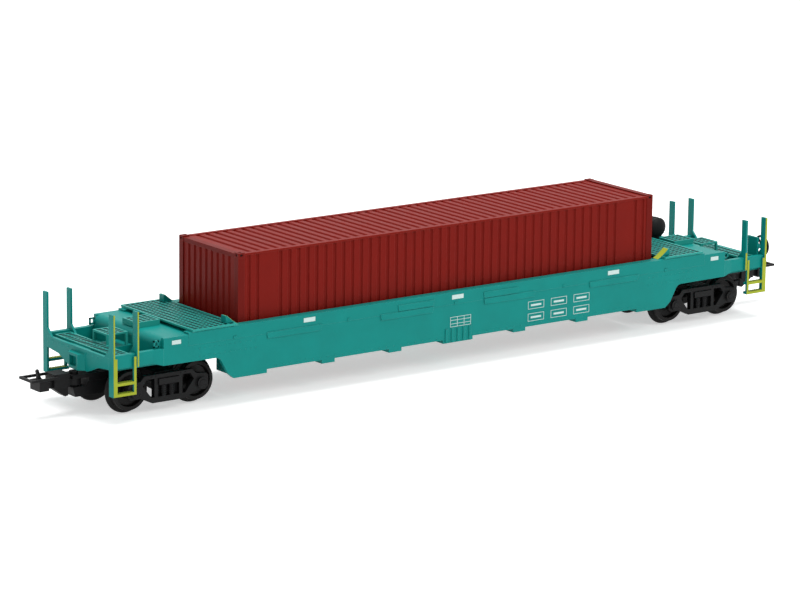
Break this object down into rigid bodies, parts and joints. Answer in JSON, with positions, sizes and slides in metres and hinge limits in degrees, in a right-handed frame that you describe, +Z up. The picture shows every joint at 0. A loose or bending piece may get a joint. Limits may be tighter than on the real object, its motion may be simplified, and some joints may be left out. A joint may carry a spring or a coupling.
{
  "type": "model railway well car with container",
  "caption": "HO scale model of a well car that carries one ribbed freight container, with end platforms, posts, swivelling trucks and loop couplers.",
  "frame": {"origin": "under the middle of the car, at the level of the wheel flanges' lowest points", "axes": "+X along the car to the end with the hand brake, +Y to the left of it, +Z up"},
  "size_m": [0.2524, 0.0348, 0.0395],
  "materials": {
    "teal_plastic": "satin",
    "grating_teal": "satin",
    "lime_paint": "satin",
    "black_plastic": "matte",
    "container_red": "satin",
    "container_rods": "satin",
    "steel": "satin"
  },
  "bodies": {
    "car": {"side_left": "teal_plastic", "side_right": "teal_plastic", "cross_bearers": "teal_plastic", "corner_floors": "teal_plastic", "well_wall_a": "teal_plastic", "well_wall_b": "teal_plastic", "bolster_a": "teal_plastic", "bolster_b": "teal_plastic", "end_frame_a": "teal_plastic", "end_frame_b": "teal_plastic", "end_deck_a": "teal_plastic", "end_deck_b": "teal_plastic", "raised_grating_a": "grating_teal", "raised_grating_b": "grating_teal", "centre_gratings": "grating_teal", "platform_grating_a": "grating_teal", "platform_grating_b": "grating_teal", "end_sill_a": "teal_plastic", "end_sill_b": "teal_plastic", "end_side_sills": "teal_plastic", "posts_a": "teal_plastic", "posts_b": "teal_plastic", "steps": "lime_paint", "guides": "lime_paint", "brake_housing": "teal_plastic", "brake_wheel": "black_plastic", "air_reservoir": "black_plastic", "reservoir_saddles": "black_plastic", "pivot_pin_a": "steel", "pivot_pin_b": "steel"},
    "container": {"container_side_left": "container_red", "container_side_right": "container_red", "container_roof": "container_red", "container_floor": "container_red", "container_end_wall": "container_red", "container_doors": "container_red", "container_lock_rods": "container_rods", "container_frame_a": "container_red", "container_frame_b": "container_red", "container_castings": "container_red"},
    "truck_a": {"truck_frames_a": "black_plastic", "truck_bolster_a": "black_plastic", "draft_arm_a": "black_plastic"},
    "coupler_a": {"coupler_a": "black_plastic"},
    "loop_a": {"loop_a": "black_plastic"},
    "truck_b": {"truck_frames_b": "black_plastic", "truck_bolster_b": "black_plastic", "draft_arm_b": "black_plastic"},
    "coupler_b": {"coupler_b": "black_plastic"},
    "loop_b": {"loop_b": "black_plastic"},
    "wheelset_1": {"wheels_1": "black_plastic", "axle_1": "steel"},
    "wheelset_2": {"wheels_2": "black_plastic", "axle_2": "steel"},
    "wheelset_3": {"wheels_3": "black_plastic", "axle_3": "steel"},
    "wheelset_4": {"wheels_4": "black_plastic", "axle_4": "steel"}
  },
  "joints": [
    {"name": "truck_a_swivel", "type": "hinge", "parent": "car", "child": "truck_a", "pos_m": [-0.0907, 0, 0.0112], "axis": [0, 0, 1], "range_deg": [-12, 12]},
    {"name": "truck_b_swivel", "type": "hinge", "parent": "car", "child": "truck_b", "pos_m": [0.0907, 0, 0.0112], "axis": [0, 0, 1], "range_deg": [-12, 12]},
    {"name": "wheelset_1_spin", "type": "hinge", "parent": "truck_a", "child": "wheelset_1", "pos_m": [-0.1009, 0, 0.00625], "axis": [0, 1, 0], "continuous": true},
    {"name": "wheelset_2_spin", "type": "hinge", "parent": "truck_a", "child": "wheelset_2", "pos_m": [-0.0805, 0, 0.00625], "axis": [0, 1, 0], "continuous": true},
    {"name": "wheelset_3_spin", "type": "hinge", "parent": "truck_b", "child": "wheelset_3", "pos_m": [0.0805, 0, 0.00625], "axis": [0, 1, 0], "continuous": true},
    {"name": "wheelset_4_spin", "type": "hinge", "parent": "truck_b", "child": "wheelset_4", "pos_m": [0.1009, 0, 0.00625], "axis": [0, 1, 0], "continuous": true},
    {"name": "coupler_a_turn", "type": "hinge", "parent": "truck_a", "child": "coupler_a", "pos_m": [-0.1118, 0, 0.0085], "axis": [0, 0, 1], "range_deg": [-12, 12]},
    {"name": "loop_a_lift", "type": "hinge", "parent": "coupler_a", "child": "loop_a", "pos_m": [-0.1183, 0, 0.0104], "axis": [0, 1, 0], "range_deg": [0, 60]},
    {"name": "coupler_b_turn", "type": "hinge", "parent": "truck_b", "child": "coupler_b", "pos_m": [0.1118, 0, 0.0085], "axis": [0, 0, 1], "range_deg": [-12, 12]},
    {"name": "loop_b_lift", "type": "hinge", "parent": "coupler_b", "child": "loop_b", "pos_m": [0.1183, 0, 0.0104], "axis": [0, -1, 0], "range_deg": [0, 60]},
    {"name": "container_lift", "type": "slide", "parent": "car", "child": "container", "axis": [0, 0, 1], "range_m": [0, 0.036]}
  ]
}
